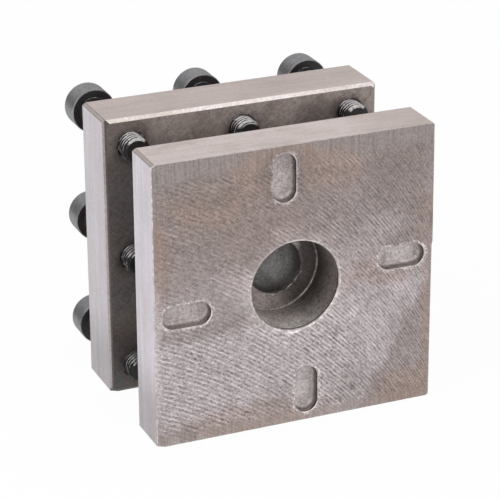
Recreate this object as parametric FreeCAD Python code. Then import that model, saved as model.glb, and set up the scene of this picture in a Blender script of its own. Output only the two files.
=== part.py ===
"""Four-way square tool post, lying on one side.

The origin is the centre of the spigot recess in the seating face. +Y runs along the
bore, from the seating face to the screw heads, +Z is up and +X is to the right of
someone who looks at the seating face. All sizes are in millimetres.
"""
import FreeCAD, Part

import math
import os

# Block: two square plates joined by a square core, cut from one piece of steel.
SIDE = 65.0                 # both plates, across the flats
BASE_THICK = 11.1           # plate with the seating face
SLOT_GAP = 17.9             # clear height of the four tool slots
TOP_THICK = 13.7            # plate that carries the clamp screws
SLOT_DEPTH = 14.5           # from the side of the plates to the core
SLOT_ROOT_RADIUS = 0.5      # left by the milling cutter where slot and core meet
CORNER_UPRIGHT = 0.5        # what is filed off every corner along the left and right sides
CORNER_LOWER_LEFT = 1.8     # the same along the lower and upper sides, corner by corner
CORNER_UPPER_LEFT = 0.8
CORNER_RIGHT = 0.45
SLOT_LIP_CHAMFER = 0.7      # edge of the top plate above the slots
BASE_EDGE_BREAK = 0.15      # all round both faces of the base plate
TOP_EDGE_BREAK = 0.3        # outer edge of the top plate

# Stepped bore in the middle.
SPIGOT_DIAMETER = 20.4      # recess that centres the post on the slide's boss
SPIGOT_DEPTH = 11.5
SPIGOT_CHAMFER = 0.25
STUD_DIAMETER = 12.6        # passes the clamp stud
STUD_CHAMFER = 0.5

# Four oblong indexing recesses in the seating face, set off to one side like a pinwheel.
DETENT_LENGTH = 11.6
DETENT_WIDTH = 5.6
DETENT_CENTRE = 25.1        # from the bore's axis, measured along the recess
DETENT_OFFSET = 2.55        # sideways from the bore's axis
DETENT_DEPTH = 2.2
DETENT_FLOOR_CHAMFER = 0.3

# Clamp screws: socket head cap screws with an M6 thread.
THREAD_DIAMETER = 6.0
THREAD_CLEARANCE = 0.05     # radial, in the tapped holes
SCREW_LENGTH = 28.0         # from under the head to the tip
HEAD_DIAMETER = 10.2
HEAD_HEIGHT = 6.0
HEAD_RIM_CHAMFER = 0.5
HEX_ACROSS_FLATS = 5.0
HEX_DEPTH = 3.2
HEX_MOUTH_CHAMFER = 0.2
HEX_POINT_DEPTH = 1.4       # hollow left by the punch below the flats of the hex socket
TIP_CHAMFER = 0.8
SCREW_INSET = 6.3           # screw axis from the sides of the plate
COUNTERSINK = 0.4           # at both ends of the tapped holes, beyond the thread

# How far each tip stands out of the top plate into its slot, as the post lies in the picture.
# The key is the screw's place in the 3 by 3 grid: columns to the right, rows upward.
TIP_REACH = {
    "top_left": (-1, 1, 4.0),
    "top_mid": (0, 1, 4.0),
    "top_right": (1, 1, 3.9),
    "left_mid": (-1, 0, 4.0),
    "right_mid": (1, 0, 4.1),
    "bottom_left": (-1, -1, 3.8),
    "bottom_mid": (0, -1, 3.7),
    "bottom_right": (1, -1, 4.2),
}

SPARE = 5.0                 # how far cutting tools run past the faces that they cut
SLOT_FLOOR = BASE_THICK
SLOT_ROOF = SLOT_FLOOR + SLOT_GAP
HEIGHT = SLOT_ROOF + TOP_THICK
CORE_HALF = SIDE / 2 - SLOT_DEPTH
SCREW_PITCH = SIDE / 2 - SCREW_INSET

ORIGIN = FreeCAD.Vector(0, 0, 0)
ALONG_BORE = FreeCAD.Vector(0, 1, 0)


def vector(x, y, z):
    return FreeCAD.Vector(x, y, z)


def revolved(outline):
    """Solid of revolution about the Y axis from (radius, y) points that start and end on the axis."""
    points = [vector(radius, y, 0) for radius, y in outline]
    face = Part.Face(Part.makePolygon(points + points[:1]))
    return face.revolve(ORIGIN, ALONG_BORE, 360)


def square_prism(half, low, high):
    """Square bar along Y from y = low to y = high."""
    return Part.makeBox(2 * half, high - low, 2 * half, vector(-half, low, -half))


def edges_at(solid, y):
    """Edges that lie wholly in the plane at the given y."""
    return [
        edge for edge in solid.Edges
        if abs(edge.BoundBox.YMin - y) < 1e-6 and abs(edge.BoundBox.YMax - y) < 1e-6
    ]


def plate(low, high, low_break, high_break):
    """Square plate with filed corners and its two faces' edges broken."""
    half, side = SIDE / 2, SIDE / 2 - CORNER_UPRIGHT
    outline = [
        (CORNER_LOWER_LEFT - half, -half), (half - CORNER_RIGHT, -half), (half, -side), (half, side),
        (half - CORNER_RIGHT, half), (CORNER_UPPER_LEFT - half, half), (-half, side), (-half, -side),
    ]
    rings = []
    for y, inward in ((low, low_break), (low + low_break, 0), (high - high_break, 0), (high, high_break)):
        share = 1 - inward / half
        rings.append([vector(x * share, y, z * share) for x, z in outline])
    faces = [Part.Face(Part.makePolygon(ring + ring[:1])) for ring in (rings[0], rings[-1])]
    for near, far in zip(rings, rings[1:]):
        for a, b, c, d in zip(near, near[1:] + near[:1], far[1:] + far[:1], far):
            faces.append(Part.Face(Part.makePolygon([a, b, c, d, a])))
    return Part.Solid(Part.Shell(faces))


def slot_cutter():
    """Space of the upper tool slot: its two inner corners keep the milling cutter's radius."""
    r = SLOT_ROOT_RADIUS
    outer = SIDE / 2 + SPARE
    length = SIDE + 2 * SPARE
    x = -length / 2
    lean = r * (1 - math.sqrt(0.5))
    edges = [
        Part.LineSegment(vector(x, SLOT_FLOOR, outer), vector(x, SLOT_FLOOR, CORE_HALF + r)),
        Part.Arc(
            vector(x, SLOT_FLOOR, CORE_HALF + r),
            vector(x, SLOT_FLOOR + lean, CORE_HALF + lean),
            vector(x, SLOT_FLOOR + r, CORE_HALF),
        ),
        Part.LineSegment(vector(x, SLOT_FLOOR + r, CORE_HALF), vector(x, SLOT_ROOF - r, CORE_HALF)),
        Part.Arc(
            vector(x, SLOT_ROOF - r, CORE_HALF),
            vector(x, SLOT_ROOF - lean, CORE_HALF + lean),
            vector(x, SLOT_ROOF, CORE_HALF + r),
        ),
        Part.LineSegment(vector(x, SLOT_ROOF, CORE_HALF + r), vector(x, SLOT_ROOF, outer)),
        Part.LineSegment(vector(x, SLOT_ROOF, outer), vector(x, SLOT_FLOOR, outer)),
    ]
    face = Part.Face(Part.Wire([edge.toShape() for edge in edges]))
    return face.extrude(vector(length, 0, 0))


def bore_cutter():
    """Spigot recess, shoulder and stud bore as one turned shape."""
    spigot, stud = SPIGOT_DIAMETER / 2, STUD_DIAMETER / 2
    mouth = spigot + SPIGOT_CHAMFER
    exit_mouth = stud + STUD_CHAMFER
    return revolved([
        (0, -SPARE), (mouth, -SPARE), (mouth, 0), (spigot, SPIGOT_CHAMFER),
        (spigot, SPIGOT_DEPTH), (stud, SPIGOT_DEPTH), (stud, HEIGHT - STUD_CHAMFER),
        (exit_mouth, HEIGHT), (exit_mouth, HEIGHT + SPARE), (0, HEIGHT + SPARE),
    ])


def detent_cutter():
    """Upper indexing recess: an end-milled oblong with a chamfered floor edge."""
    half_width = DETENT_WIDTH / 2
    reach = DETENT_LENGTH / 2 - half_width
    x = -DETENT_OFFSET
    low, high = DETENT_CENTRE - reach, DETENT_CENTRE + reach
    left, right = x - half_width, x + half_width
    edges = [
        Part.LineSegment(vector(right, 0, low), vector(right, 0, high)),
        Part.Arc(vector(right, 0, high), vector(x, 0, high + half_width), vector(left, 0, high)),
        Part.LineSegment(vector(left, 0, high), vector(left, 0, low)),
        Part.Arc(vector(left, 0, low), vector(x, 0, low - half_width), vector(right, 0, low)),
    ]
    face = Part.Face(Part.Wire([edge.toShape() for edge in edges]))
    face.translate(vector(0, -SPARE, 0))
    solid = face.extrude(vector(0, SPARE + DETENT_DEPTH, 0))
    return solid.makeChamfer(DETENT_FLOOR_CHAMFER, edges_at(solid, DETENT_DEPTH))


def tapped_hole_cutter():
    """Tapped hole through the top plate, without its thread, countersunk at both ends."""
    hole = THREAD_DIAMETER / 2 + THREAD_CLEARANCE
    wide = hole + COUNTERSINK
    return revolved([
        (0, SLOT_ROOF - SPARE), (wide, SLOT_ROOF - SPARE), (wide, SLOT_ROOF),
        (hole, SLOT_ROOF + COUNTERSINK), (hole, HEIGHT - COUNTERSINK),
        (wide, HEIGHT), (wide, HEIGHT + SPARE), (0, HEIGHT + SPARE),
    ])


def quarter_turns(solid):
    """The solid and its three copies round the bore."""
    copies = []
    for turn in range(4):
        copy = solid.copy()
        copy.rotate(ORIGIN, ALONG_BORE, 90 * turn)
        copies.append(copy)
    return copies


def at_screw(solid, column, row, y=0.0):
    """Copy of a solid moved to a place of the screw grid."""
    copy = solid.copy()
    copy.translate(vector(column * SCREW_PITCH, y, row * SCREW_PITCH))
    return copy


def tool_post_body():
    base = plate(0, SLOT_FLOOR, BASE_EDGE_BREAK, BASE_EDGE_BREAK)
    top = plate(SLOT_ROOF, HEIGHT, SLOT_LIP_CHAMFER, TOP_EDGE_BREAK)
    rough_core = square_prism(CORE_HALF + 2 * SLOT_ROOT_RADIUS, SLOT_FLOOR, SLOT_ROOF)
    body = base.fuse([rough_core, top]).removeSplitter()
    body = body.cut(quarter_turns(slot_cutter()))
    body = body.cut(bore_cutter())
    body = body.cut(quarter_turns(detent_cutter()))
    hole = tapped_hole_cutter()
    body = body.cut([at_screw(hole, column, row) for column, row, _ in TIP_REACH.values()])
    return body.Solids[0]


def hexagon(across_flats, y):
    """Hexagonal wire round the Y axis."""
    corner = across_flats / 2 / math.cos(math.radians(30))
    angles = [math.radians(60 * step) for step in range(7)]
    return Part.makePolygon([vector(corner * math.cos(a), y, corner * math.sin(a)) for a in angles])


def hex_cutter():
    """Hex socket for the key, from its punched point to its chamfered mouth at y = 0."""
    flare = 2 * HEX_MOUTH_CHAMFER
    sections = [
        Part.Vertex(vector(0, -HEX_DEPTH - HEX_POINT_DEPTH, 0)),
        hexagon(HEX_ACROSS_FLATS, -HEX_DEPTH),
        hexagon(HEX_ACROSS_FLATS, -HEX_MOUTH_CHAMFER),
        hexagon(HEX_ACROSS_FLATS + flare, 0),
        hexagon(HEX_ACROSS_FLATS + 2 * flare, HEX_MOUTH_CHAMFER),
    ]
    return Part.makeLoft(sections, True, True)


def clamp_screw():
    """Cap screw on the Y axis with the underside of its head at y = 0 and its tip at y = -SCREW_LENGTH."""
    shank, head = THREAD_DIAMETER / 2, HEAD_DIAMETER / 2
    blank = revolved([
        (0, -SCREW_LENGTH), (shank - TIP_CHAMFER, -SCREW_LENGTH), (shank, TIP_CHAMFER - SCREW_LENGTH),
        (shank, 0), (head, 0), (head, HEAD_HEIGHT - HEAD_RIM_CHAMFER),
        (head - HEAD_RIM_CHAMFER, HEAD_HEIGHT), (0, HEAD_HEIGHT),
    ])
    socket = hex_cutter()
    socket.translate(vector(0, HEAD_HEIGHT, 0))
    return blank.cut(socket).Solids[0]


def main():
    os.makedirs("parts", exist_ok=True)
    pieces = {"tool_post_body": tool_post_body()}
    screw = clamp_screw()
    for place, (column, row, reach) in TIP_REACH.items():
        under_head = SLOT_ROOF - reach + SCREW_LENGTH
        pieces["clamp_screw_" + place] = at_screw(screw, column, row, under_head)
    for name, solid in pieces.items():
        print(name, "valid", solid.isValid(), "volume", round(solid.Volume, 1), solid.BoundBox)
        solid.exportStep("parts/" + name + ".step")


main()
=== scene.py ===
"""Looks of a four-way square tool post that lies on one side, with its eight clamp screws.

The origin is the centre of the spigot recess in the seating face. +Y runs along the bore
towards the screw heads, +Z is up and +X is to the right. Sizes are in metres.
"""

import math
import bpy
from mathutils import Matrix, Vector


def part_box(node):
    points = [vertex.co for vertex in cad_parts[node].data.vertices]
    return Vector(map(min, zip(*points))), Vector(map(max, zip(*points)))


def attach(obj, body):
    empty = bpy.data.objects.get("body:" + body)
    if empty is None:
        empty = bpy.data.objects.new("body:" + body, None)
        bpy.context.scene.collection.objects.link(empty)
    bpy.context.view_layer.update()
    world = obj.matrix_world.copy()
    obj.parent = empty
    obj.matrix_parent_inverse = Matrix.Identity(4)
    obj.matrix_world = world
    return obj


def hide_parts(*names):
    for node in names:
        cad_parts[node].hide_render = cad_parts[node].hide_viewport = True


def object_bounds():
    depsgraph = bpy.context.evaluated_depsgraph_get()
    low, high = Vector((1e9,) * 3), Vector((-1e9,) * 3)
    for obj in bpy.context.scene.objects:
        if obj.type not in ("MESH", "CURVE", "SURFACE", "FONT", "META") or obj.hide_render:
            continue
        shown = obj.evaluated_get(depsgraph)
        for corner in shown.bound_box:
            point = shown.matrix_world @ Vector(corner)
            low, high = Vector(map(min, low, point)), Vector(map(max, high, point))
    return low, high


bl_info = {
    "name": "Square Tool Post",
    "version": (1, 0, 0),
    "blender": (4, 5, 0),
    "location": "3D View > Sidebar > Tool Post",
    "description": "Builds a four-way square tool post with its clamp screws, and a plain stage",
    "category": "Object",
}

import bmesh
import bpy
from bpy.props import FloatProperty, FloatVectorProperty, IntProperty, PointerProperty
from mathutils import Matrix, Vector, noise

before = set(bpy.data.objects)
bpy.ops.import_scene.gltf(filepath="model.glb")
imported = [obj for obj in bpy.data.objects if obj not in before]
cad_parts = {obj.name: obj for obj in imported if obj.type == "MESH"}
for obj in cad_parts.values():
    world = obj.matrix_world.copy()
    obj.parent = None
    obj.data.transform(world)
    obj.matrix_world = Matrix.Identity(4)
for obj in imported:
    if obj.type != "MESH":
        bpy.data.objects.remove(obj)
cad_box = [list(corner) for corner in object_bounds()]

MM = 0.001
MERGE = 0.0005 * MM
TURN_TO_BORE = Matrix.Rotation(math.pi / 2, 4, "X")
PLACES = [name.replace("clamp_screw_", "") for name in sorted(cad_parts) if "clamp_screw_" in name]
SIDE = cad_box[1][0] - cad_box[0][0]


def tone(red, green, blue):
    """Linear colour of an 8-bit screen colour."""
    return tuple(
        c / 12.92 if c <= 0.04045 else ((c + 0.055) / 1.055) ** 2.4
        for c in (red / 255, green / 255, blue / 255)
    )


def frame_inset():
    """How far the corner screws stand from the bore's axis."""
    low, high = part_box("clamp_screw_top_right")
    return (low.x + high.x) / 2


def length(name, description, millimetres):
    return FloatProperty(
        name=name, description=description, default=millimetres * MM, min=0.0, precision=5,
        unit="LENGTH", subtype="DISTANCE",
    )


def colour(name, description, red, green, blue):
    return FloatVectorProperty(
        name=name, description=description, default=tone(red, green, blue), size=3,
        min=0.0, max=1.0, subtype="COLOR",
    )


# values that a user would change


class BlockSizes(bpy.types.PropertyGroup):
    """Sizes of the one-piece block"""

    side: FloatProperty(
        name="Side", description="Width of both square plates", default=SIDE, min=0.01,
        unit="LENGTH", subtype="DISTANCE",
    )
    base_thick: length("Base plate", "Thickness of the plate with the seating face", 11.1)
    slot_gap: length("Tool slot", "Clear height of the tool slots", 17.9)
    top_thick: length("Top plate", "Thickness of the plate that carries the screws", 13.7)
    core: length("Core", "Width of the square core between the plates", 36.0)
    root_radius: length("Slot root", "Radius where a slot meets the core", 0.5)
    corner_upright: length("Corners, upright", "Filed off every corner along the left and right sides", 0.5)
    corner_lower: length("Lower left corner", "Filed off the corner along the lower side", 1.8)
    corner_upper: length("Upper left corner", "Filed off the corner along the upper side", 0.8)
    corner_right: length("Right corners", "Filed off both corners along the lower and upper sides", 0.45)
    base_break: length("Base edges", "Edge break round the base plate", 0.15)
    lip: length("Slot lip", "Chamfer on the top plate's edge at the slots", 0.7)
    top_break: length("Top edges", "Edge break round the outer face of the top plate", 0.3)
    spigot: length("Spigot recess", "Diameter of the recess in the seating face", 20.4)
    spigot_depth: length("Recess depth", "Depth of the spigot recess", 11.5)
    stud: length("Stud bore", "Diameter of the through bore", 12.6)
    detent_long: length("Index recess length", "Length of the oblong recesses", 11.6)
    detent_wide: length("Index recess width", "Width of the oblong recesses", 5.6)
    detent_out: length("Index recess place", "Centre of a recess from the bore's axis", 25.1)
    detent_aside: length("Index recess offset", "Sideways offset of each recess", 2.55)
    detent_deep: length("Index recess depth", "Depth of the oblong recesses", 2.2)
    detent_round: length("Index recess round", "Radius along the recess floor's edge", 0.85)
    wear: length("Edge wear", "How far nicks reach into the edges", 0.08)
    burr: length("Burr", "How far the upper right edge of the seating face is pushed out", 0.22)


class BlockFinish(bpy.types.PropertyGroup):
    """Colours and tool marks of the block"""

    face: colour("Milled face", "Bare milled steel", 169, 160, 161)
    dull: colour("Dulled face", "Milled steel under a film of old oil", 141, 129, 126)
    side: colour("Ground side", "Ground steel", 194, 189, 193)
    # upper: the warmer tint of the top faces is painted warm light from above.
    upper: colour("Upper side", "Ground steel with a faint warm film", 191, 178, 174)
    corner: colour("Corner chamfer", "Filed corners, a little brown", 164, 155, 149)
    slot: colour("Slot face", "Steel inside the tool slots", 128, 119, 114)
    bore: colour("Bore", "Bored steel", 158, 154, 153)
    floor: colour("Recess floor", "End-milled steel", 192, 183, 183)
    # edge: also the upper lip's colour, bright there as painted highlight.
    edge: colour("Edge", "Bright broken edges", 234, 226, 224)
    rust: colour("Brown stain", "Dried oil and light rust", 151, 132, 123)
    shade: colour("Grey stain", "Dull grey blotches", 124, 114, 110)
    mark_step: length("Mark spacing", "Upright distance between cutter marks", 1.10)
    mark_radius: length("Mark radius", "Radius of the cutter's path", 139.0)
    mark_centre: FloatProperty(
        name="Mark centre", description="Sideways place of the cutter path's centre",
        default=-89.0 * MM, unit="LENGTH", subtype="DISTANCE",
    )


class ScrewSizes(bpy.types.PropertyGroup):
    """Sizes and colours of the clamp screws"""

    thread: length("Thread", "Diameter over the thread's crests", 5.88)
    pitch: length("Pitch", "Distance between threads", 1.0)
    thread_depth: length("Thread depth", "From crest to root", 0.6)
    shank: length("Length", "From under the head to the tip", 28.0)
    head: length("Head", "Diameter of the head", 10.2)
    head_height: length("Head height", "Height of the head", 6.0)
    rim: length("Head rim", "Radius of the head's outer rim", 0.6)
    tip: length("Tip chamfer", "Chamfer at the tip", 0.55)
    fillet: length("Head fillet", "Radius where the shank meets the head", 0.45)
    flats: length("Hex socket", "Across the flats of the hex socket", 5.0)
    socket: length("Socket depth", "Depth of the hex socket", 3.2)
    steps: IntProperty(
        name="Steps", description="Steps in one turn of the thread, a multiple of 6",
        default=48, min=12, max=96,
    )
    oxide: colour("Black oxide", "Satin black oxide on the head", 128, 127, 129)
    crest: colour("Thread crest", "Rubbed crests of the thread", 186, 183, 182)


class StageValues(bpy.types.PropertyGroup):
    """Camera and light"""

    eye: FloatVectorProperty(
        name="Camera place", description="Where the camera stands",
        default=(-188.78 * MM, -423.81 * MM, 204.06 * MM), size=3, subtype="TRANSLATION",
    )
    forward: FloatVectorProperty(
        name="Looks along", description="Direction of view", default=(0.35703, 0.8494, -0.38865),
        size=3, subtype="DIRECTION",
    )
    upright: FloatVectorProperty(
        name="Camera up", description="Which way is up in the picture",
        default=(0.1563, 0.35589, 0.92137), size=3, subtype="DIRECTION",
    )
    lens: FloatProperty(name="Lens", description="Focal length in millimetres", default=170.23, min=20)
    sky: FloatProperty(name="Room light", description="Strength of the even light", default=0.62, min=0)
    key: FloatProperty(name="Key light", description="Power of the lamp on the left", default=3.2, min=0)
    fill: FloatProperty(name="Front light", description="Power of the lamp in front", default=1.6, min=0)
    paper: colour("Floor", "Colour of the floor", 255, 255, 255)


class ToolPost(bpy.types.PropertyGroup):
    """All values of the tool post"""

    block: PointerProperty(type=BlockSizes)
    finish: PointerProperty(type=BlockFinish)
    screws: PointerProperty(type=ScrewSizes)
    stage: PointerProperty(type=StageValues)


# procedural materials


class Number:
    """Something that a material works out at each point. Sums of it add nodes to the same tree."""

    def __init__(self, nodes, socket):
        self.nodes, self.socket = nodes, socket

    def __add__(self, other):
        return self.nodes.math("ADD", self, other)

    def __mul__(self, other):
        return self.nodes.math("MULTIPLY", self, other)

    __radd__, __rmul__ = __add__, __mul__

    def __sub__(self, other):
        return self.nodes.math("SUBTRACT", self, other)

    def __rsub__(self, other):
        return self.nodes.math("SUBTRACT", other, self)

    def __pow__(self, other):
        return self.nodes.math("POWER", self, other)

    def __abs__(self):
        return self.nodes.math("ABSOLUTE", self)

    def sign(self):
        return self.nodes.math("SIGN", self)

    def swing(self, size):
        """A 0 to 1 pattern as a swing of the given size about zero."""
        return self.nodes.math("MULTIPLY_ADD", self, size, -size / 2)

    def fade(self, low, high):
        """0 below low, 1 above high, and smooth between them."""
        if low > high:
            return 1.0 - self.fade(high, low)
        return self.nodes.node("MapRange", {0: self, 1: low, 2: high}, interpolation_type="SMOOTHSTEP")


class Place:
    """A place and its three coordinates."""

    def __init__(self, point):
        self.point = point
        outputs = point.nodes.made("SeparateXYZ", {0: point}).outputs
        self.x, self.y, self.z = (Number(point.nodes, output) for output in outputs)


class Nodes:
    """The node tree of a material or a room."""

    def __init__(self, owner):
        owner.use_nodes = True
        self.tree = owner.node_tree
        self.tree.nodes.clear()

    def made(self, kind, inputs=None, **settings):
        """Adds a node. Its inputs take values, or results of other nodes."""
        node = self.tree.nodes.new("ShaderNode" + kind)
        for key, value in settings.items():
            setattr(node, key, value)
        for key, value in (inputs or {}).items():
            socket = node.inputs[key]
            if isinstance(value, Number):
                self.tree.links.new(value.socket, socket)
            else:
                socket.default_value = (*value, 1.0) if socket.type == "RGBA" else value
        return node

    def node(self, kind, inputs=None, result=0, **settings):
        """Adds a node and returns one of its results."""
        return Number(self, self.made(kind, inputs, **settings).outputs[result])

    def math(self, operation, *values):
        return self.node("Math", dict(enumerate(values)), operation=operation)

    def most(self, first, second):
        return self.math("MAXIMUM", first, second)

    def swapped(self, share, first, second):
        """A number that goes from the first to the second as share goes from 0 to 1."""
        return self.node("Mix", {0: share, 2: first, 3: second})

    def mix(self, share, first, second, mode="MIX"):
        """A colour that goes from the first to the second as share goes from 0 to 1."""
        return self.node("Mix", {0: share, 6: first, 7: second}, 2, data_type="RGBA", blend_type=mode)


class Recipe(Nodes):
    """A procedural material in the making, in millimetres. base is its colour so far."""

    def __init__(self, name, base):
        self.material = bpy.data.materials.new(name)
        super().__init__(self.material)
        self.base = base
        metres = self.node("TexCoord", result="Object")
        here = Place(self.node("Mapping", {"Vector": metres, "Scale": (1 / MM,) * 3}))
        self.point = here.point
        self.axes = here.x, here.y, here.z

    def own(self, name):
        """A number that the piece's own vertices carry."""
        return self.node("Attribute", result="Fac", attribute_name=name, attribute_type="GEOMETRY")

    def vector(self, x=0.0, y=0.0, z=0.0):
        return self.node("CombineXYZ", {0: x, 1: y, 2: z})

    def span(self, vector):
        """How long a vector is."""
        return self.node("VectorMath", {0: vector}, "Value", operation="LENGTH")

    def noise(self, scale, detail=3.0, rough=0.5, at=None, stretch=(1, 1, 1), move=0.0, twist=0.0):
        """Noise whose features are about 1 / scale millimetres across."""
        at = at or self.point
        at = self.node("Mapping", {"Vector": at, "Scale": stretch, "Location": (move,) * 3})
        return self.node("TexNoise", {
            "Vector": at, "Scale": scale, "Detail": detail, "Roughness": rough, "Distortion": twist,
        })

    def specks(self, scale, at=None):
        """Irregular cells about 1 / scale millimetres across, each with a value of its own."""
        return self.node("TexVoronoi", {"Vector": at or self.point, "Scale": scale}, "Color")

    def scattered(self, scale, reach):
        """The object's coordinates, pushed about by noise so that stains get torn outlines."""
        push = self.node("TexNoise", {"Vector": self.point, "Scale": scale, "Detail": 3.0}, 1)
        for operation, value in (("SUBTRACT", 0.5), ("MULTIPLY", reach)):
            push = self.node("VectorMath", {0: push, 1: (value,) * 3}, operation=operation)
        return Place(self.node("VectorMath", {0: self.point, 1: push}, operation="ADD"))

    def blot(self, at, x, z, wide, high, soft=0.45):
        """1 inside an oval about (x, z), 0 outside it, with an edge as soft as asked."""
        place = self.node("Mapping", {
            "Vector": at, "Location": (-x / wide, 0.0, -z / high), "Scale": (1 / wide, 0.0, 1 / high),
        })
        return self.span(place).fade(1.0 + soft, 1.0 - soft)

    def layer(self, share, colour):
        """Lays a colour over the one so far."""
        self.base = self.mix(share, self.base, colour)

    def shaded(self, base, factor):
        """A colour made lighter or darker by a factor about 1."""
        return self.mix(1.0, base, self.node("CombineColor", {0: factor, 1: factor, 2: factor}), "MULTIPLY")

    def shade(self, factor):
        self.base = self.shaded(self.base, factor)

    def done(self, metal, rough, height, depth, specular=0.5):
        """Puts the shader on and returns the material. depth is in millimetres."""
        bump = self.node("Bump", {"Height": height, "Distance": depth * MM})
        shader = self.node("BsdfPrincipled", {
            "Base Color": self.base, "Metallic": metal, "Roughness": rough, "Normal": bump,
            "Specular IOR Level": specular,
        })
        self.made("OutputMaterial", {"Surface": shader})
        return self.material


def cutter_arcs(recipe, finish):
    """Coordinate that grows by 1 from one arc of cutter marks to the next."""
    x, _, z = recipe.axes
    across = x - finish.mark_centre / MM
    square = recipe.math("MULTIPLY_ADD", across, across * -1.0, (finish.mark_radius / MM) ** 2)
    drift = recipe.noise(0.12, 2.0).swing(0.36)
    return (z - recipe.math("SQRT", square) + drift) * (MM / finish.mark_step)


def mouth_distance(recipe, block):
    """Millimetres from a point of the seating face to the nearest mouth of a recess or of the bore."""
    x, _, z = recipe.axes
    steep = recipe.math("GREATER_THAN", abs(z), abs(x))
    aside = recipe.swapped(steep, z * x.sign() * -1.0, x * z.sign())
    outward = abs(recipe.most(abs(x), abs(z)) - block.detent_out / MM)
    half = (block.detent_long - block.detent_wide) / 2 / MM
    reach = recipe.vector(aside + block.detent_aside / MM, recipe.most(outward - half, 0.0))
    recess = recipe.span(reach) - block.detent_wide / 2 / MM
    centre = recipe.span(recipe.vector(x, 0.0, z)) - block.spigot / 2 / MM
    return recipe.math("MINIMUM", recess, centre)


# ovals on the seating face where the cutter marks catch the light: x, z, width, height
GLINTS = (
    (-28.8, 16.6, 1.8, 0.9), (-25.7, 14.5, 1.8, 0.9), (-2.6, 12.4, 2.5, 2.0), (8.0, 11.2, 3.0, 2.4),
    (20.5, 10.5, 4.0, 2.5), (13.5, 27.6, 4.0, 1.6), (-19.5, 26.0, 6.0, 1.4), (11.5, -15.0, 1.6, 0.9),
    (12.4, -8.6, 1.6, 0.9), (23.9, -3.3, 2.5, 1.5), (-13.4, 2.8, 3.5, 3.0),
)
# stains on the seating face: x, z, width, height, share
BROWN_STAINS = (
    (-3.5, 27.0, 11.5, 5.5, 1.0), (-20.0, 21.5, 9.0, 4.5, 0.8), (-31.4, 13.0, 2.4, 7.0, 0.8),
    (-9.0, 13.0, 9.0, 8.0, 0.25), (31.0, 9.0, 3.4, 8.0, 0.6), (12.2, -2.0, 1.0, 3.0, 0.7),
    (31.6, -15.0, 1.8, 15.0, 0.6), (26.0, -29.0, 7.0, 4.5, 0.8), (-10.0, -29.4, 18.0, 3.4, 0.6),
    (11.0, 25.5, 5.0, 4.5, 0.6), (20.0, 0.5, 9.0, 3.6, 0.6), (-30.8, 3.5, 1.8, 4.0, 0.5),
)
GREY_STAINS = (
    (-20.0, 24.5, 7.0, 3.5, 0.6), (-3.0, 26.0, 6.0, 5.0, 0.85), (22.0, 20.0, 7.0, 7.0, 0.4),
    (26.0, -14.0, 2.6, 6.0, 0.4), (32.2, 10.0, 1.2, 2.4, 0.7), (-27.0, -30.5, 6.0, 1.4, 0.5),
    (-20.0, -6.8, 13.0, 2.0, 0.5), (28.5, 12.5, 2.5, 4.0, 0.4), (-9.0, 9.0, 3.0, 4.0, 0.3),
    (28.0, 27.5, 3.0, 1.6, 0.5), (10.0, 12.0, 5.0, 3.0, 0.25), (-16.0, -3.5, 7.0, 3.5, 0.3),
    (26.0, 6.5, 5.0, 3.0, 0.5), (14.0, -26.0, 6.0, 4.0, 0.3), (-5.0, -26.0, 5.0, 4.0, 0.3),
)
STAIN_STRENGTH = 0.88
DARKEST = 0.2


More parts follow.
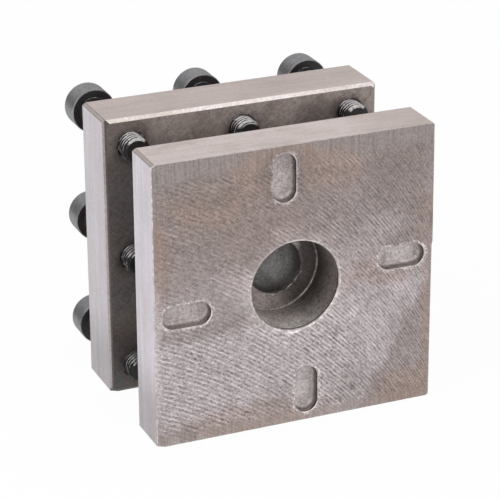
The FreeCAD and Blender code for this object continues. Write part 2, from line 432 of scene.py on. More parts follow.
def milled_face(finish, block):
    """Seating face: broken arcs of cutter marks, fine grain, and dried stains, with painted light about the
    bore and painted highlights on the marks, on a burr and round the mouths.
    """
    recipe = Recipe("milled_seating_face", finish.dull)
    x, y, z = recipe.axes
    front = y.fade(2.0, 1.0)
    arcs = cutter_arcs(recipe, finish) + recipe.noise(0.4, 2.0, move=31.0).swing(0.16)
    wave = recipe.math("MULTIPLY_ADD", recipe.math("SINE", arcs * math.tau), 0.5, 0.5)
    dash = recipe.noise(1.0, 2.0, 0.6, at=recipe.vector(arcs, x * 0.2)).fade(0.26, 0.60)
    ridge = (wave ** 2.6 - 0.33) * dash
    streak = recipe.noise(1.0, 1.0, 0.6, at=recipe.vector(arcs * 2.4, x * 0.7))
    grain = recipe.noise(2.2, 2.0, 0.7)
    specks = recipe.specks(2.6)
    arc_specks = recipe.specks(1.0, recipe.vector(arcs * 3.2, 0.0, x * 1.1))
    torn = recipe.scattered(0.32, 7.0)
    near = recipe.scattered(0.3, 3.0)

    # The cutter marks get more contrast low on the left, on the right and at the glints: partly painted
    # highlight off their ridges, partly bump.
    low_left = torn.z.fade(-4.0, -10.0) * x.fade(24.0, 6.0)
    right = x.fade(-2.0, 9.0) * torn.z.fade(25.0, 16.0)
    glint = 0.0
    for oval in GLINTS:
        glint = recipe.most(glint, recipe.blot(torn.point, *oval, 0.6))
    glint = glint * front
    depth = 0.18 + low_left * 0.36 + right * 0.17 + glint * 0.40
    factor = (
        1.0 + ridge * depth + streak.swing(0.45) + grain.swing(0.4)
        + specks.swing(1.0) * (0.5 + low_left * 0.2)
        + arc_specks.swing(1.0) * (0.40 + low_left * 0.08 + right * 0.22)
        + recipe.noise(0.10, 2.0, move=4.0).swing(0.14) + glint * 0.16
    )

    greyer = torn.x.fade(2.0, 14.0) * torn.z.fade(26.0, 20.0)
    recipe.layer(greyer, tone(145, 134, 133))
    bare = (torn.z + x * -0.12).fade(19.0, -9.0)
    recipe.layer(bare, finish.face)
    wiped = (near.z + x * -0.12).fade(-5.4, -7.0)
    recipe.layer(wiped * 0.4, tone(180, 171, 173))
    dirty = (near.x + near.z * -0.58).fade(32.6, 35.0)
    recipe.layer(dirty * 0.75, tone(144, 133, 130))

    strip = recipe.most(torn.z.fade(27.2, 28.8), near.z.fade(-29.4, -30.6))
    strip = recipe.most(strip, abs(near.x).fade(30.6, 31.4) * 0.6)
    edge_tone = recipe.mix(z.fade(20.0, 28.0), tone(156, 143, 137), tone(146, 138, 136))
    recipe.layer(strip * 0.6, edge_tone)
    lines = recipe.noise(1.0, 2.0, 0.6, stretch=(1.7, 1.0, 0.06))
    plain = 1.0 + lines.swing(1.0) + grain.swing(0.4) + specks.swing(0.3)
    factor = recipe.swapped(strip * 0.85, factor, plain)

    for stain, places in ((finish.rust, BROWN_STAINS), (finish.shade, GREY_STAINS)):
        for *oval, share in places:
            recipe.layer(recipe.blot(torn.point, *oval) * (share * STAIN_STRENGTH), stain)
    # Painted light: a lighter round patch about the bore.
    recipe.layer(recipe.blot(torn.point, 0.0, -1.0, 12.5, 12.0, 0.2) * 0.3, tone(202, 193, 194))
    margin = x.fade(-30.2, -32.2) * recipe.blot(torn.point, -32.0, -9.0, 6.0, 15.0)
    recipe.layer(margin * front * (grain * 0.9), tone(206, 198, 200))
    # A burr at the bottom of the bore's mouth, drawn near white: partly painted highlight.
    burr = recipe.blot(recipe.point, -0.6, -10.6, 1.5, 0.5) * front
    recipe.layer(burr, tone(246, 242, 242))
    # Painted highlight: light rims round the mouths of the recesses and the bore, weaker at the top.
    lips = mouth_distance(recipe, block).fade(0.75, 0.05) * specks.fade(0.3, 0.75)
    lips = lips * (0.65 + z.fade(13.0, 17.0) * -0.22)
    recipe.layer(lips * front, tone(216, 208, 209))
    recipe.shade(recipe.most(factor, DARKEST))
    height = ridge * (depth * 2.6) + streak * 0.5 + grain * 0.6
    return recipe.done(0.7, 0.46 + streak.swing(0.12), height, 0.035)


def ground_side(finish):
    """Sides of both plates: fine grinding lines along the edge, faint stains, and a warmer tint on the top
    faces as painted light.
    """
    recipe = Recipe("ground_side", finish.side)
    x, y, z = recipe.axes
    lines = recipe.noise(1.0, 4.0, 0.65, stretch=(0.05, 3.2, 0.05))
    broad = recipe.noise(1.0, 2.0, 0.5, stretch=(0.02, 0.9, 0.02), move=3.0)
    cloud = recipe.noise(0.09, 3.0, 0.6)
    speck = recipe.noise(2.2, 2.0, 0.7, move=9.0)
    above = z.fade(32.0, 32.4)
    lower = y.fade(16.0, 13.0)
    streaks = (lines.swing(0.46) + broad.swing(0.30)) * (1.0 + above * -0.4 + lower * 0.2)
    # Painted light: the top faces take the warmer tone of light from above.
    recipe.layer(above, finish.upper)
    plate = recipe.mix(above, tone(203, 198, 203), tone(206, 194, 191))
    recipe.layer(lower * x.fade(26.0, 12.0), plate)
    recipe.layer(z.fade(-11.0, -25.0), tone(170, 165, 168))
    film = recipe.noise(0.11, 3.0, 0.6, stretch=(1.0, 2.0, 0.6), move=21.0).fade(0.46, 0.70)
    recipe.layer(film * (0.2 + above * 0.25), tone(178, 163, 153))
    recipe.shade(1.0 + streaks + cloud.swing(0.22) + speck.swing(0.12) + recipe.specks(2.4).swing(0.14))
    return recipe.done(0.6, 0.56 + lines.swing(0.14), lines, 0.012)


def filed_corner(finish):
    """Filed corner chamfers: duller and browner than the sides."""
    recipe = Recipe("filed_corner", finish.corner)
    x, _, z = recipe.axes
    chamfer = 0.8
    lines = recipe.noise(1.0, 3.0, 0.6, stretch=(1.5, 0.25, 1.5))
    across = recipe.math("MULTIPLY_ADD", x, 1 / chamfer, SIDE / MM / 2 / chamfer)
    border = recipe.most(across.fade(0.3, 0.05), across.fade(0.72, 0.95))
    recipe.layer(border * 0.65 * z.fade(0.0, 1.0), tone(112, 104, 99))
    recipe.layer(x.fade(30.0, 31.0), tone(128, 126, 123))
    recipe.shade(1.0 + lines.swing(0.5) + recipe.noise(0.9, 3.0, 0.7).swing(0.6))
    return recipe.done(0.6, 0.5, lines, 0.02)


def slot_lip():
    """Chamfer round the top plate at the slots, dull, with painted shade by side: darkest along the lower
    slot, dark along the left, a little darker along the right, and darker towards the top.
    """
    recipe = Recipe("slot_lip", tone(166, 157, 155))
    x, _, z = recipe.axes
    torn = recipe.noise(1.4, 3.0, 0.7)
    recipe.layer(x.fade(-32.2, -32.0), tone(90, 82, 78))
    recipe.layer(x.fade(31.0, 31.8), tone(140, 134, 130))
    recipe.layer(z.fade(-31.0, -31.8), tone(76, 72, 70))
    recipe.shade(1.0 + torn.swing(0.55) + recipe.specks(2.4).swing(0.3) + z.fade(12.0, 22.0) * -0.2)
    return recipe.done(0.6, 0.42, torn, 0.04)


def bright_lip(finish):
    """The same chamfer at the upper slot, drawn bright as painted highlight, brightest in the middle."""
    recipe = Recipe("bright_lip", finish.edge)
    x, _, _ = recipe.axes
    torn = recipe.noise(1.4, 3.0, 0.7)
    warm = recipe.noise(0.2, 2.0, move=8.0).fade(0.4, 0.65)
    recipe.layer(warm, tone(230, 218, 211))
    middle = abs(x).fade(20.0, 8.0)
    recipe.shade(1.0 + torn.swing(0.5) + recipe.specks(2.4).swing(0.28) + middle * 0.13)
    return recipe.done(0.65, 0.42, torn, 0.04)


def slot_face(finish):
    """Faces inside the tool slots: crossing fine marks, brown tints, darker towards the right, painted
    light towards the top edge, and painted shade low on the left and round the screws.
    """
    recipe = Recipe("slot_face", tone(120, 114, 112))
    x, y, z = recipe.axes
    marks = recipe.specks(1.0, recipe.vector((x + z * -1.2) * 1.25, 0.0, x * 0.5))
    crossed = recipe.specks(1.0, recipe.vector((x + z * 1.1) * 1.4, 0.0, x * 0.5))
    grain = recipe.noise(3.0, 2.0, 0.7)
    torn = recipe.scattered(0.5, 3.0)
    recipe.layer(x.fade(-22.0, -14.0), finish.slot)
    # Painted light towards the top edge of the slots, and painted shade low on the left.
    upper = recipe.mix(x.fade(-26.0, -20.0), tone(142, 132, 128), tone(178, 166, 161))
    recipe.layer(torn.z.fade(18.0, 29.0), upper)
    recipe.layer(x.fade(-22.0, -26.0) * torn.z.fade(-13.0, -19.0), tone(92, 88, 88))
    recipe.layer(recipe.blot(torn.point, 18.5, 25.0, 6.0, 5.5, 0.6) * 0.6, tone(84, 74, 69))
    recipe.layer(x.fade(21.0, 27.0) * 0.5, tone(112, 103, 99))
    brown = recipe.noise(0.12, 3.0, 0.6, move=5.0).fade(0.45, 0.70)
    recipe.layer(brown * 0.35, tone(118, 98, 86))
    inset = frame_inset() / MM
    across, upward = (recipe.math("PINGPONG", axis + 2 * inset, inset / 2) for axis in (torn.x, torn.z))
    # Painted shade: a dark ring round each screw where it leaves the plate.
    shade_round_screws = recipe.span(recipe.vector(across, 0.0, upward)).fade(5.2, 3.2) * y.fade(26.0, 28.0)
    recipe.layer(shade_round_screws * 0.5, tone(72, 64, 60))
    recipe.shade(
        1.0 + marks.swing(0.27) + crossed.swing(0.18) + grain.swing(0.30) + recipe.specks(2.6).swing(0.45)
    )
    return recipe.done(0.6, 0.5, marks + crossed * 0.7 + grain * 0.4, 0.03)


def bored(finish):
    """Bores: rings left by the boring tool, dull and a little brown, with painted light and shade along the
    bores, on the shoulder and round the recess wall, and painted highlights at the shoulder's edges.
    """
    recipe = Recipe("bored_wall", tone(98, 92, 90))
    x, y, z = recipe.axes
    rings = recipe.noise(1.0, 3.0, 0.6, stretch=(0.08, 4.0, 0.08))
    cloud = recipe.noise(0.35, 3.0, 0.6, move=2.0)
    grain = recipe.noise(2.8, 2.0, 0.6)
    # Painted light and shade along the stud bore: dark just past the shoulder, lightest about 20 mm from
    # the seating face, darker again deep inside.
    recipe.layer(y.fade(13.0, 19.5), tone(202, 199, 199))
    recipe.layer(y.fade(21.0, 29.0), finish.bore)
    recipe.layer(y.fade(29.0, 38.0), tone(100, 96, 95))

    # Painted light and shade on the shoulder: light low on the left, dark high on the right, with a painted
    # patch of light above and right of the stud.
    shoulder = y.fade(12.0, 11.6) * y.fade(11.1, 11.3)
    lit = (x + z * 0.5).fade(2.0, -7.0)
    recipe.layer(shoulder, recipe.mix(lit, tone(86, 79, 77), tone(158, 149, 146)))
    recipe.layer(recipe.blot(recipe.point, 4.6, 3.8, 1.3, 1.6) * shoulder, tone(168, 162, 160))

    # Painted light and shade on the recess wall: light on the left, dark on the right, lighter towards the
    # mouth, and a painted dark line right at the mouth.
    aside = x.fade(-1.0, 9.0)
    inner = recipe.mix(aside, tone(180, 172, 168), tone(88, 81, 79))
    outer = recipe.mix(aside, tone(240, 232, 228), tone(134, 126, 123))
    wall = recipe.mix(y.fade(10.5, 2.5), inner, outer)
    wall = recipe.mix(y.fade(1.0, 0.5), wall, tone(66, 60, 58))
    recipe.layer(y.fade(11.25, 11.15), wall)

    # Bright worn lines at the shoulder's corner and at the stud's edge, also painted highlight, the stud's
    # edge brightest low down.
    rubbed_and_lit = recipe.noise(0.8, 2.0, move=17.0).fade(0.35, 0.6)
    seam = y.fade(11.15, 11.25) * y.fade(11.49, 11.41) * (0.25 + rubbed_and_lit * 0.45)
    rim = y.fade(11.5, 11.53) * y.fade(11.8, 11.68) * ((0.2 + z.fade(-2.0, -5.0) * 0.8) * rubbed_and_lit)
    recipe.layer(seam + rim, tone(196, 189, 187))
    speck = recipe.specks(2.4)
    recipe.shade(1.0 + rings.swing(0.9) + cloud.swing(0.9) + grain.swing(0.6) + speck.swing(0.8))
    return recipe.done(0.35, 0.42, rings + grain, 0.03)


def recess_floor(finish, block):
    """Oblong recesses: end-milled floor with faint swirls and dark specks, with painted shade across each
    recess and on the walls, dark at the mouth, and painted light on some lower walls.
    """
    recipe = Recipe("recess_floor", finish.floor)
    x, y, z = recipe.axes
    aside = recipe.own("aside")
    swirl = recipe.noise(0.9, 2.0, 0.5, twist=1.5)
    broad = recipe.noise(0.28, 2.0, 0.5, twist=0.8, move=3.0)
    grain = recipe.specks(2.4)
    pits = recipe.noise(1.5, 2.0, 0.6, move=13.0).fade(0.66, 0.72)
    out = block.detent_out / MM
    steep = recipe.math("GREATER_THAN", abs(z), abs(x))
    along = recipe.swapped(steep, x + x.sign() * -out, z * -1.0 + z.sign() * out)
    from_end = recipe.vector(aside * (block.detent_wide / 2 / MM), along + 2.6)
    rings = recipe.noise(1.0, 1.0, 0.5, at=recipe.vector(recipe.span(from_end) * 1.5, steep))
    factor = (
        1.0 + swirl.swing(0.45) + broad.swing(0.6) + grain.swing(0.6) + pits * -0.5
        + rings.swing(0.4) + along.fade(-3.0, 1.5) * 0.12 - 0.06
    )
    # Painted shade: darker towards both sides across each recess.
    recipe.layer(aside.fade(0.1, 1.0) * 0.45, tone(140, 134, 130))
    recipe.layer(aside.fade(-0.5, -1.0) * 0.35, tone(146, 136, 134))
    recipe.layer((z - x).fade(8.0, 16.0) * 0.4, tone(160, 149, 147))
    # Painted shade on the walls: darker than the floor, darkest on the far side and along the mouth;
    # painted light on the lower wall of the left and right recesses.
    recipe.layer(y.fade(2.1, 1.6) * 0.8, tone(148, 138, 135))
    far = aside.fade(0.2, 0.9)
    recipe.layer(far * y.fade(2.0, 1.2) * 0.6, tone(104, 97, 95))
    under = (z + x.sign() * (-block.detent_aside / MM)).fade(-1.8, -2.4) * (1.0 - steep)
    recipe.layer(under * 0.7, tone(158, 150, 147))
    mouth = y + far * -0.35 + under * 0.3
    recipe.layer(mouth.fade(0.60, 0.30), tone(72, 64, 62))
    recipe.shade(recipe.most(factor, DARKEST))
    return recipe.done(0.6, 0.5, swirl + grain, 0.03)


def broken_edge(finish):
    """Chamfers and burrs: bright, slightly torn."""
    recipe = Recipe("broken_edge", tone(150, 141, 138))
    x, y, z = recipe.axes
    torn = recipe.noise(1.4, 3.0, 0.75)
    recipe.layer(recipe.noise(0.9, 2.0, move=6.0).fade(0.42, 0.60), finish.edge)
    recipe.layer(z.fade(31.9, 32.2) * y.fade(1.0, 0.6) * 0.75, tone(176, 165, 161))
    recipe.layer(y.fade(0.5, 0.3) * 0.5, tone(196, 188, 187))
    recipe.layer(x.fade(31.8, 32.2) * 0.8, tone(128, 126, 123))
    recipe.shade(1.0 + torn.swing(0.8))
    return recipe.done(0.6, 0.42, torn, 0.05)


def hole_wall():
    """Walls of the tapped holes: thread grooves as rings, dark."""
    recipe = Recipe("tapped_wall", tone(92, 87, 84))
    _, y, _ = recipe.axes
    groove = recipe.math("PINGPONG", y, 0.5)
    recipe.shade(0.55 + groove + recipe.noise(1.2).swing(0.3))
    return recipe.done(0.75, 0.45, groove, 0.3)


def black_oxide(screws):
    """Satin black head of a screw, with painted light and shade by the way each part faces, and bright wear
    on its lower rim that is partly painted highlight.
    """
    recipe = Recipe("black_oxide_head", screws.oxide)
    cloud = recipe.noise(0.5, 3.0, 0.6)
    lines = recipe.noise(1.0, 3.0, 0.6, stretch=(2.5, 0.12, 2.5))
    grain = recipe.noise(2.4, 1.0, 0.6)
    upward = recipe.own("upward")
    # Painted light and shade: lighter or darker by which way the side faces, darker towards the right.
    lit = 0.93 + upward.fade(0.05, 0.40) * -0.55 + upward.fade(0.45, 1.0) * 0.66
    lit = lit * (1.0 + recipe.own("sideways").fade(0.2, 0.75) * -0.5)
    recipe.shade(lit * (
        1.0 + cloud.swing(0.35) + lines.swing(0.45) + grain.swing(0.3) + recipe.specks(2.2).swing(0.4)
    ))
    # Bright wear along the lower rim, partly painted highlight.
    rim_wear_and_sheen = recipe.own("crest") * recipe.noise(0.5, 2.0, move=12.0).fade(0.35, 0.65)
    recipe.layer(rim_wear_and_sheen * 0.6, tone(160, 158, 158))
    return recipe.done(0.0, 0.5, lines, 0.008, specular=0.2)


def rubbed_thread(screws):
    """Thread of a screw: black roots, crests rubbed bright, and brighter on top as painted light."""
    recipe = Recipe("rubbed_thread", tone(34, 32, 33))
    patch = recipe.noise(0.9, 3.0, 0.6)
    # Painted light: crests facing up are drawn brighter.
    above = recipe.own("upward").fade(0.35, 0.9) * 0.38
    rubbed_and_lit = (recipe.own("crest") + patch.swing(0.7) + above).fade(0.88, 1.12)
    factor = 1.0 + patch.swing(0.5) + recipe.specks(2.4).swing(0.5)
    recipe.layer(rubbed_and_lit, recipe.shaded(screws.crest, factor))
    return recipe.done(rubbed_and_lit * 0.6, 0.36, patch, 0.03, specular=0.2)


def screw_end():
    """Flat end of a screw, left black. The same black on the head's underside and at the socket's point is
    painted shade.
    """
    recipe = Recipe("screw_end", tone(56, 52, 53))
    cloud = recipe.noise(1.2, 3.0, 0.6)
    recipe.shade(1.0 + cloud.swing(1.0))
    return recipe.done(0.6, 0.5, cloud, 0.02)


# meshes


def loop_through(verts):
    """The edges that join these vertices."""
    chosen = set(verts)
    return list(dict.fromkeys(e for v in verts for e in v.link_edges if e.other_vert(v) in chosen))


def verts_of(loop):
    return list(dict.fromkeys(v for e in loop for v in e.verts))


def ring(bm, radius, y, centre=(0.0, 0.0), segments=96):
    """Round loop about an axis along the bore."""
    place = Matrix.Translation((centre[0], y, centre[1])) @ TURN_TO_BORE
    made = bmesh.ops.create_circle(bm, segments=segments, radius=radius, matrix=place)
    return loop_through(made["verts"])


def carried(bm, loop, y, factor=1.0, centre=(0.0, 0.0), finish=0):
    """Extrudes a loop to a new place along the bore, made larger or smaller about a centre."""
    made = bmesh.ops.extrude_edge_only(bm, edges=loop)["geom"]
    verts = [part for part in made if isinstance(part, bmesh.types.BMVert)]
    bmesh.ops.translate(bm, vec=(0.0, y - verts[0].co.y, 0.0), verts=verts)
    if factor != 1.0:
        home = Matrix.Translation((-centre[0], 0.0, -centre[1]))
        bmesh.ops.scale(bm, vec=(factor, 1.0, factor), space=home, verts=verts)
    for vert in verts:
        for face in vert.link_faces:
            face.material_index = finish
    return loop_through(verts)


def turned(bm, profile, centre=(0.0, 0.0), segments=96):
    """Turned wall through (radius, y, finish) steps. Returns its first and last loops."""
    radius, y, _ = profile[0]
    first = last = ring(bm, radius, y, centre, segments)
    for new_radius, new_y, finish in profile[1:]:
        last = carried(bm, last, new_y, new_radius / radius, centre, finish)
        radius = new_radius
    return first, last


def squared(bm, profile, block=None, cuts=1):
    """Square wall through (half width, y, finish) steps. Returns all its loops.

    Given the block's sizes, its corners are filed off.
    """
    half, y, _ = profile[0]
    if block:
        up, right = half - block.corner_upright, half - block.corner_right
        corners = [
            (block.corner_lower - half, -half), (right, -half), (half, -up), (half, up),
            (right, half), (block.corner_upper - half, half), (-half, up), (-half, -up),
        ]
    else:
        corners = [(-half, -half), (half, -half), (half, half), (-half, half)]
    verts = [bm.verts.new((x, y, z)) for x, z in corners]
    loop = [bm.edges.new(pair) for pair in zip(verts, verts[1:] + verts[:1])]
    long, short = (loop[::2], loop[1::2]) if block else (loop, [])
    made = bmesh.ops.subdivide_edges(bm, edges=long, cuts=cuts)["geom_split"]
    loops = [short + [part for part in made if isinstance(part, bmesh.types.BMEdge)]]
    for new_half, new_y, finish in profile[1:]:
        loops.append(carried(bm, loops[-1], new_y, new_half / half, finish=finish))
        half = new_half
    return loops


def faced(bm, loops, normal, finish):
    """Flat face between loops that lie in one plane, such as an outline and its holes."""
    edges = [edge for loop in loops for edge in loop]
    made = bmesh.ops.triangle_fill(bm, edges=edges, use_beauty=True, normal=normal)["geom"]
    faces = [part for part in made if isinstance(part, bmesh.types.BMFace)]
    if not faces:
        raise RuntimeError("a flat face of the block didn't fill")
    for face in faces:
        face.material_index = finish


def worn(loop, depth, seed):
    """Moves a loop's vertices towards the bore's axis here and there, like small nicks."""
    ripple_pitch, nick_pitch, nick_start = 0.35, 1.1, 0.25
    for vert in verts_of(loop):
        ripple = noise.noise(vert.co / MM * ripple_pitch + Vector((seed, seed, seed)))
        nick = noise.noise(vert.co / MM * nick_pitch + Vector((seed + 7.0, 0.0, 0.0)))
        nick = max(0.0, nick - nick_start)
        shrink = depth * (0.35 * abs(ripple) + 1.6 * nick)
        reach = max(abs(vert.co.x), abs(vert.co.z))
        vert.co.x *= 1.0 - shrink / reach
        vert.co.z *= 1.0 - shrink / reach


def closed(bm, name, materials, sharp_degrees=32.0):
    """Mesh of a closed skin, smooth but for its sharp edges."""
    bmesh.ops.remove_doubles(bm, verts=bm.verts[:], dist=MERGE)
    bmesh.ops.recalc_face_normals(bm, faces=bm.faces[:])
    for face in bm.faces:
        face.smooth = True
    for edge in bm.edges:
        edge.smooth = edge.calc_face_angle(0.0) < math.radians(sharp_degrees)
    mesh = bpy.data.meshes.new(name)
    bm.to_mesh(mesh)
    bm.free()
    for material in materials:
        mesh.materials.append(material)
    return mesh


def stands_for(mesh, name, body, node):
    """Piece that moves with a body and stands for a solid of the frame."""
    piece = bpy.data.objects.new(name, mesh)
    bpy.context.scene.collection.objects.link(piece)
    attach(piece, body)
    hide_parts(node)


# the block

FACE, GROUND, SLOT, BORE, FLOOR, EDGE, TAPPED, CORNER, LIP, GLINT = range(10)


def oblong(bm, block, turn):
    """Mouth loop of an indexing recess, with the recess below it."""
    radius = block.detent_wide / 2
    reach = block.detent_long / 2 - radius
    segments = 40
    half_step = Matrix.Rotation(math.pi / segments, 4, "Z")
    verts = bmesh.ops.create_circle(
        bm, segments=segments, radius=radius, matrix=TURN_TO_BORE @ half_step
    )["verts"]
    for end in (-1, 1):
        bmesh.ops.translate(bm, vec=(0.0, 0.0, end * reach), verts=[v for v in verts if v.co.z * end > 0])
    place = Matrix.Rotation(turn, 4, "Y") @ Matrix.Translation((-block.detent_aside, 0.0, block.detent_out))
    bmesh.ops.transform(bm, matrix=place, verts=verts)
    mouth = loop_through(verts)
    centre = place.translation
    chamfer_deep, chamfer_wide, slimmer = 0.16 * MM, 0.2 * MM, 1.6
    shrink = 1.0 - chamfer_wide / radius / slimmer
    rim = carried(bm, mouth, chamfer_deep, shrink, (centre.x, centre.z), EDGE)
    bottom = carried(bm, rim, block.detent_deep, finish=FLOOR)
    faced(bm, [bottom], (0, -1, 0), FLOOR)
    bmesh.ops.bevel(
        bm, geom=bottom, offset=block.detent_round, affect="EDGES", segments=7, profile=0.5, material=-1
    )
    half_width = max(vert.co.x for vert in verts) - centre.x
    around = 7 * MM
    # Each recess point's place across the recess, from which the recess material paints shade.
    aside = bm.verts.layers.float["aside"]
    for vert in bm.verts:
        inside = any(face.material_index == FLOOR for face in vert.link_faces)
        if inside and (vert.co - centre).length < around:
            vert[aside] = (vert.co.x - centre.x) / half_width
    return mouth


def block_mesh(block):
    """The whole block as one closed skin."""
    bm = bmesh.new()
    bm.verts.layers.float.new("aside")
    half, core = block.side / 2, block.core / 2
    floor, roof = block.base_thick, block.base_thick + block.slot_gap
    top = roof + block.top_thick
    root = block.root_radius
    lean = 0.29 * root

    base = squared(bm, [
        (half - block.base_break, 0.0, 0), (half, block.base_break, EDGE),
        (half, floor - block.base_break, GROUND), (half - block.base_break, floor, EDGE),
    ], block, 63)
    cap = squared(bm, [
        (half - block.lip, roof, 0), (half, roof + block.lip, LIP),
        (half, top - block.top_break, GROUND), (half - block.top_break, top, EDGE),
    ], block, 63)
    neck = squared(bm, [
        (core + root, floor, 0), (core + lean, floor + lean, SLOT), (core, floor + root, SLOT),
        (core, roof - root, SLOT), (core + lean, roof - lean, SLOT), (core + root, roof, SLOT),
    ])

    spigot, stud, depth = block.spigot / 2, block.stud / 2, block.spigot_depth
    mouth, back = turned(bm, [
        (spigot + 0.45 * MM, 0.0, 0), (spigot + 0.15 * MM, 0.1 * MM, EDGE), (spigot, 0.35 * MM, EDGE),
        (spigot, depth - 0.3 * MM, BORE), (spigot - 0.3 * MM, depth, BORE), (stud + 0.15 * MM, depth, BORE),
        (stud, depth + 0.15 * MM, BORE), (stud, depth + 0.6 * MM, BORE),
        (stud, top - 0.5 * MM, BORE), (stud + 0.5 * MM, top, EDGE),
    ])

    near, deepest_bite, bite_start = 0.2 * MM, 0.12, 0.05
    for vert in bm.verts:
        at_shoulder = vert.co.z < 0.0 and abs(vert.co.y - depth) < near
        if at_shoulder and math.hypot(vert.co.x, vert.co.z) < stud + near:
            bite = 1.0 + deepest_bite * max(0.0, noise.noise(vert.co / MM * 0.9) - bite_start)
            vert.co.x *= bite
            vert.co.z *= bite

    inset = frame_inset()
    lower, upper = [], []
    hole, sink = 3.05 * MM, 0.4 * MM
    for column in (-1, 0, 1):
        for row in (-1, 0, 1):
            if column or row:
                first, last = turned(bm, [
                    (hole + sink, roof, 0), (hole, roof + sink, EDGE),
                    (hole, top - sink, TAPPED), (hole + sink, top, EDGE),
                ], (column * inset, row * inset), 48)
                lower.append(first)
                upper.append(last)

    recesses = [oblong(bm, block, math.radians(90 * turn)) for turn in range(4)]
    # Slanting ground faces are corner chamfers. The lip along the top takes the bright lip, a painted
    # highlight; the other lips keep the darker lip, with painted shade by side.
    for face in bm.faces:
        middle = face.calc_center_median()
        along_top = middle.z > half - block.lip and middle.x > block.corner_upper - half
        if face.material_index == GROUND and min(abs(face.normal.x), abs(face.normal.z)) > 0.1:
            face.material_index = CORNER
        elif face.material_index == LIP and along_top:
            face.material_index = GLINT
    for index, loop in enumerate((base[0], base[1], base[3], cap[0], cap[3])):
        worn(loop, block.wear, 11.0 * index)
    burr_end = 4.0 * MM
    for vert in verts_of(base[0] + base[1]):
        if vert.co.x > 0.98 * half and vert.co.z > burr_end:
            vert.co.x += block.burr * (half - vert.co.z) / (half - burr_end)
    faced(bm, [base[0], mouth, *recesses], (0, -1, 0), FACE)
    faced(bm, [base[3], neck[0]], (0, 1, 0), SLOT)
    faced(bm, [cap[0], neck[-1], *lower], (0, -1, 0), SLOT)
    faced(bm, [cap[3], back, *upper], (0, 1, 0), FACE)
    return bm


class TOOLPOST_OT_block(bpy.types.Operator):
    """Model the one-piece block with its slots, bores and recesses"""

    bl_idname = "toolpost.block"
    bl_label = "Block"

    def execute(self, context):
        values = context.scene.tool_post
        block, finish = values.block, values.finish
        materials = [
            milled_face(finish, block), ground_side(finish), slot_face(finish), bored(finish),
            recess_floor(finish, block), broken_edge(finish), hole_wall(), filed_corner(finish),
            slot_lip(), bright_lip(finish),
        ]
        mesh = closed(block_mesh(block), "tool_post_block", materials, 14.0)
        stands_for(mesh, "tool_post_block", "post", "tool_post_body")
        return {"FINISHED"}


# the clamp screws

OXIDE, THREAD, END = range(3)


def threaded_shank(bm, screws):
    """Right-hand thread as one helical skin, closed at both ends, with a chamfered tip."""
    crest = screws.thread / 2
    root = crest - screws.thread_depth
    pitch = screws.pitch
    turns = math.ceil(screws.shank / pitch) + 3
    start = -screws.shank - pitch
    shoulder = crest - 0.02 * MM
    outline = [(root, 0.0), (root, 0.22), (shoulder, 0.54), (crest, 0.61), (shoulder, 0.68), (root, 1.0)]
    verts = [bm.verts.new((radius, start + share * pitch, 0.0)) for radius, share in outline]
    edges = [bm.edges.new(pair) for pair in zip(verts, verts[1:])]
    bmesh.ops.spin(
        bm, geom=verts + edges, cent=(0, 0, 0), axis=(0, 1, 0), dvec=(0, pitch / screws.steps, 0),
        angle=math.tau, steps=screws.steps, use_merge=False,
    )
    single = bm.verts[:] + bm.edges[:] + bm.faces[:]
    for turn in range(1, turns):
        copy = bmesh.ops.duplicate(bm, geom=single)["geom"]
        moved = [part for part in copy if isinstance(part, bmesh.types.BMVert)]
        bmesh.ops.translate(bm, vec=(0.0, turn * pitch, 0.0), verts=moved)
    bmesh.ops.remove_doubles(bm, verts=bm.verts[:], dist=MERGE)
    height = bm.verts.layers.float.new("crest")
    first_turn, tip_rub, neck_rub = 0.5 * MM, 0.72, 0.64
    runout_start, runout = 1.6 * MM, 0.9 * MM
    for vert in bm.verts:
        radius = math.hypot(vert.co.x, vert.co.z)
        inward = min(1.0, max(0.0, (vert.co.y + screws.shank - first_turn) / first_turn))
        vert[height] = tip_rub + inward * ((radius - root) / (crest - root) - tip_rub)
        limit = crest - screws.tip + max(0.0, vert.co.y + screws.shank)
        plain = min(1.0, max(0.0, (vert.co.y + runout_start) / runout))
        neck = min(1.0, max(0.0, vert.co.y / screws.fillet + 1.0))
        vert[height] = max(vert[height] * (1.0 - plain), neck_rub * neck)
        wanted = min(radius + plain * (crest - radius), limit) + screws.fillet * neck * neck
        vert.co.x *= wanted / radius
        vert.co.z *= wanted / radius
    for y, outward in ((-screws.shank, -1), (0.4 * MM, 1)):
        bmesh.ops.bisect_plane(
            bm, geom=bm.verts[:] + bm.edges[:] + bm.faces[:], plane_co=(0, y, 0), plane_no=(0, outward, 0),
            clear_outer=True,
        )
        rim = [e for e in bm.edges if e.is_boundary and all(abs(v.co.y - y) < 1e-7 for v in e.verts)]
        faced(bm, [rim], (0, outward, 0), END)
    for face in bm.faces:
        if face.material_index != END:
            face.material_index = THREAD


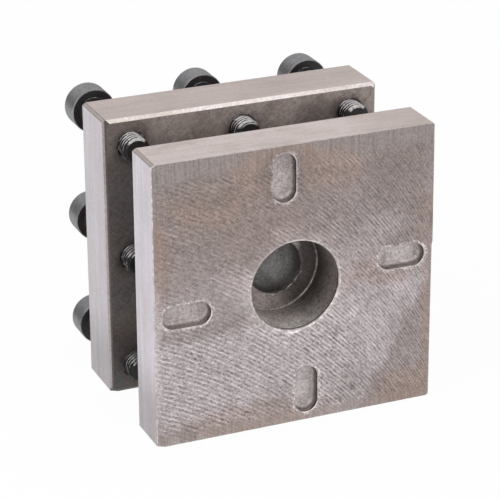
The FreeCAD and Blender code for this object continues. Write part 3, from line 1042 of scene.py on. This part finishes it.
def socket_head(bm, screws):
    """Round head with a rounded rim and a hex socket with a punched point."""
    radius, height, rim = screws.head / 2, screws.head_height, screws.rim
    profile = [
        (radius - 0.2 * MM, 0.0, OXIDE), (radius, 0.2 * MM, OXIDE), (radius, 0.5 * MM, OXIDE),
        (radius, height - rim, OXIDE),
    ]
    for step in range(1, 6):
        angle = step * math.pi / 10
        profile.append((radius - rim * (1 - math.cos(angle)), height - rim * (1 - math.sin(angle)), OXIDE))
    mouth = screws.flats / 2 / math.cos(math.pi / 6) + 0.12 * MM
    profile.append((mouth, height, OXIDE))
    known = set(bm.verts)
    bottom, last = turned(bm, profile, segments=screws.steps)
    # Marks the lower rim for bright wear, which is partly painted highlight.
    rim_wear_and_sheen = bm.verts.layers.float["crest"]
    for vert in bm.verts:
        if vert not in known and vert.co.y < 0.3 * MM:
            vert[rim_wear_and_sheen] = 1.0
    # The underside takes the black end colour as painted shade.
    faced(bm, [bottom], (0, -1, 0), END)
    for y in (height - 0.2 * MM, height - screws.socket):
        last = carried(bm, last, y, finish=OXIDE)
        for vert in verts_of(last):
            angle = math.atan2(vert.co.z, vert.co.x)
            reach = screws.flats / 2 / math.cos(angle % (math.pi / 3) - math.pi / 6)
            vert.co.x, vert.co.z = reach * math.cos(angle), reach * math.sin(angle)
    # The socket's point takes the black end colour as painted shade.
    drill_point = 1.4 * MM
    deepest = height - screws.socket - drill_point
    point = verts_of(carried(bm, last, deepest, 0.001, finish=END))
    bmesh.ops.pointmerge(bm, verts=point, merge_co=(0.0, deepest, 0.0))


class TOOLPOST_OT_clamp_screws(bpy.types.Operator):
    """Model the eight clamp screws with their threads and hex sockets"""

    bl_idname = "toolpost.clamp_screws"
    bl_label = "Clamp screws"

    def execute(self, context):
        screws = context.scene.tool_post.screws
        materials = [black_oxide(screws), rubbed_thread(screws), screw_end()]
        bm = bmesh.new()
        threaded_shank(bm, screws)
        socket_head(bm, screws)
        pattern = closed(bm, "cap_screw", materials)
        for index, place in enumerate(PLACES):
            name, node = "cap_screw_" + place, "clamp_screw_" + place
            low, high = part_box(node)
            centre = (low + high) / 2
            mesh = pattern.copy()
            mesh.name = name
            turn = Matrix.Rotation(2.4 * index, 4, "Y")
            mesh.transform(Matrix.Translation((centre.x, low.y + screws.shank, centre.z)) @ turn)
            # How each point faces about the screw's axis; the head's and the thread's materials paint light
            # and shade from these.
            for side, axis in (("sideways", 0), ("upward", 2)):
                away = [vert.co - centre for vert in mesh.vertices]
                share = [step[axis] / max(math.hypot(step.x, step.z), MM) for step in away]
                mesh.attributes.new(side, "FLOAT", "POINT").data.foreach_set("value", share)
            stands_for(mesh, name, "screw_" + place, node)
        bpy.data.meshes.remove(pattern)
        return {"FINISHED"}


# the stage


def seen_or_mirrored(nodes):
    """1 where the camera, a mirror image or glass sees the surface."""
    total = nodes.node("LightPath", result="Is Camera Ray")
    for ray in ("Glossy", "Transmission"):
        total = nodes.most(total, nodes.node("LightPath", result=f"Is {ray} Ray"))
    return total


def lamp(name, place, power, tint, size=0.6, aim=(0.0, 0.02, 0.0)):
    """Square lamp that looks at the block."""
    light = bpy.data.lights.new(name, "AREA")
    light.shape = "SQUARE"
    light.size = size
    light.energy = power
    light.color = tint
    holder = bpy.data.objects.new(name, light)
    holder.location = place
    holder.rotation_mode = "QUATERNION"
    holder.rotation_quaternion = (Vector(aim) - Vector(place)).to_track_quat("-Z", "Y")
    bpy.context.scene.collection.objects.link(holder)


class TOOLPOST_OT_stage(bpy.types.Operator):
    """Set up the floor, the light and the camera"""

    bl_idname = "toolpost.stage"
    bl_label = "Stage"

    def execute(self, context):
        scene = context.scene
        stage = scene.tool_post.stage
        scene.view_settings.view_transform = "Standard"

        world = bpy.data.worlds.new("even_room")
        room = Nodes(world)
        strength = room.swapped(seen_or_mirrored(room), stage.sky, 1.0)
        sky = room.node("Background", {"Color": (1, 1, 1), "Strength": strength})
        room.made("OutputWorld", {"Surface": sky})
        scene.world = world

        paper = bpy.data.materials.new("white_paper")
        skin = Nodes(paper)
        plain = skin.node("BsdfDiffuse", {"Color": stage.paper})
        white = skin.node("Emission", {"Color": stage.paper})
        sheet = skin.node("MixShader", {0: seen_or_mirrored(skin) * 0.96, 1: plain, 2: white})
        skin.made("OutputMaterial", {"Surface": sheet})

        bm = bmesh.new()
        level = Matrix.Translation((0, 0, cad_box[0][2]))
        bmesh.ops.create_circle(bm, cap_ends=True, segments=96, radius=1.5, matrix=level)
        mesh = bpy.data.meshes.new("floor")
        bm.to_mesh(mesh)
        bm.free()
        mesh.materials.append(paper)
        floor = bpy.data.objects.new("floor", mesh)
        scene.collection.objects.link(floor)

        lamp("key_light", (-0.75, -0.15, 0.45), stage.key, (0.97, 0.97, 1.0))
        lamp("front_light", (0.15, -0.80, 0.25), stage.fill, (1.0, 0.99, 0.98))

        camera = bpy.data.cameras.new("camera")
        camera.lens = stage.lens
        camera.clip_start, camera.clip_end = 0.01, 10.0
        holder = bpy.data.objects.new("camera", camera)
        back = -Vector(stage.forward).normalized()
        right = Vector(stage.upright).cross(back).normalized()
        turn = Matrix((right, back.cross(right), back)).transposed().to_4x4()
        holder.matrix_world = Matrix.Translation(stage.eye) @ turn
        scene.collection.objects.link(holder)
        scene.camera = holder
        return {"FINISHED"}


class TOOLPOST_PT_panel(bpy.types.Panel):
    """Values and steps of the tool post"""

    bl_label = "Tool Post"
    bl_idname = "TOOLPOST_PT_panel"
    bl_space_type = "VIEW_3D"
    bl_region_type = "UI"
    bl_category = "Tool Post"

    def draw(self, context):
        values = context.scene.tool_post
        steps = (
            (TOOLPOST_OT_block, (values.block, values.finish)),
            (TOOLPOST_OT_clamp_screws, (values.screws,)),
            (TOOLPOST_OT_stage, (values.stage,)),
        )
        for operator, groups in steps:
            box = self.layout.box()
            box.operator(operator.bl_idname)
            for group in groups:
                for name in group.__annotations__:
                    box.prop(group, name)


CLASSES = (
    BlockSizes, BlockFinish, ScrewSizes, StageValues, ToolPost,
    TOOLPOST_OT_block, TOOLPOST_OT_clamp_screws, TOOLPOST_OT_stage, TOOLPOST_PT_panel,
)


def register():
    for cls in CLASSES:
        bpy.utils.register_class(cls)
    bpy.types.Scene.tool_post = PointerProperty(type=ToolPost)


def unregister():
    del bpy.types.Scene.tool_post
    for cls in reversed(CLASSES):
        bpy.utils.unregister_class(cls)


def main():
    register()
    bpy.ops.toolpost.block()
    bpy.ops.toolpost.clamp_screws()
    bpy.ops.toolpost.stage()


if __name__ == "__main__":
    main()
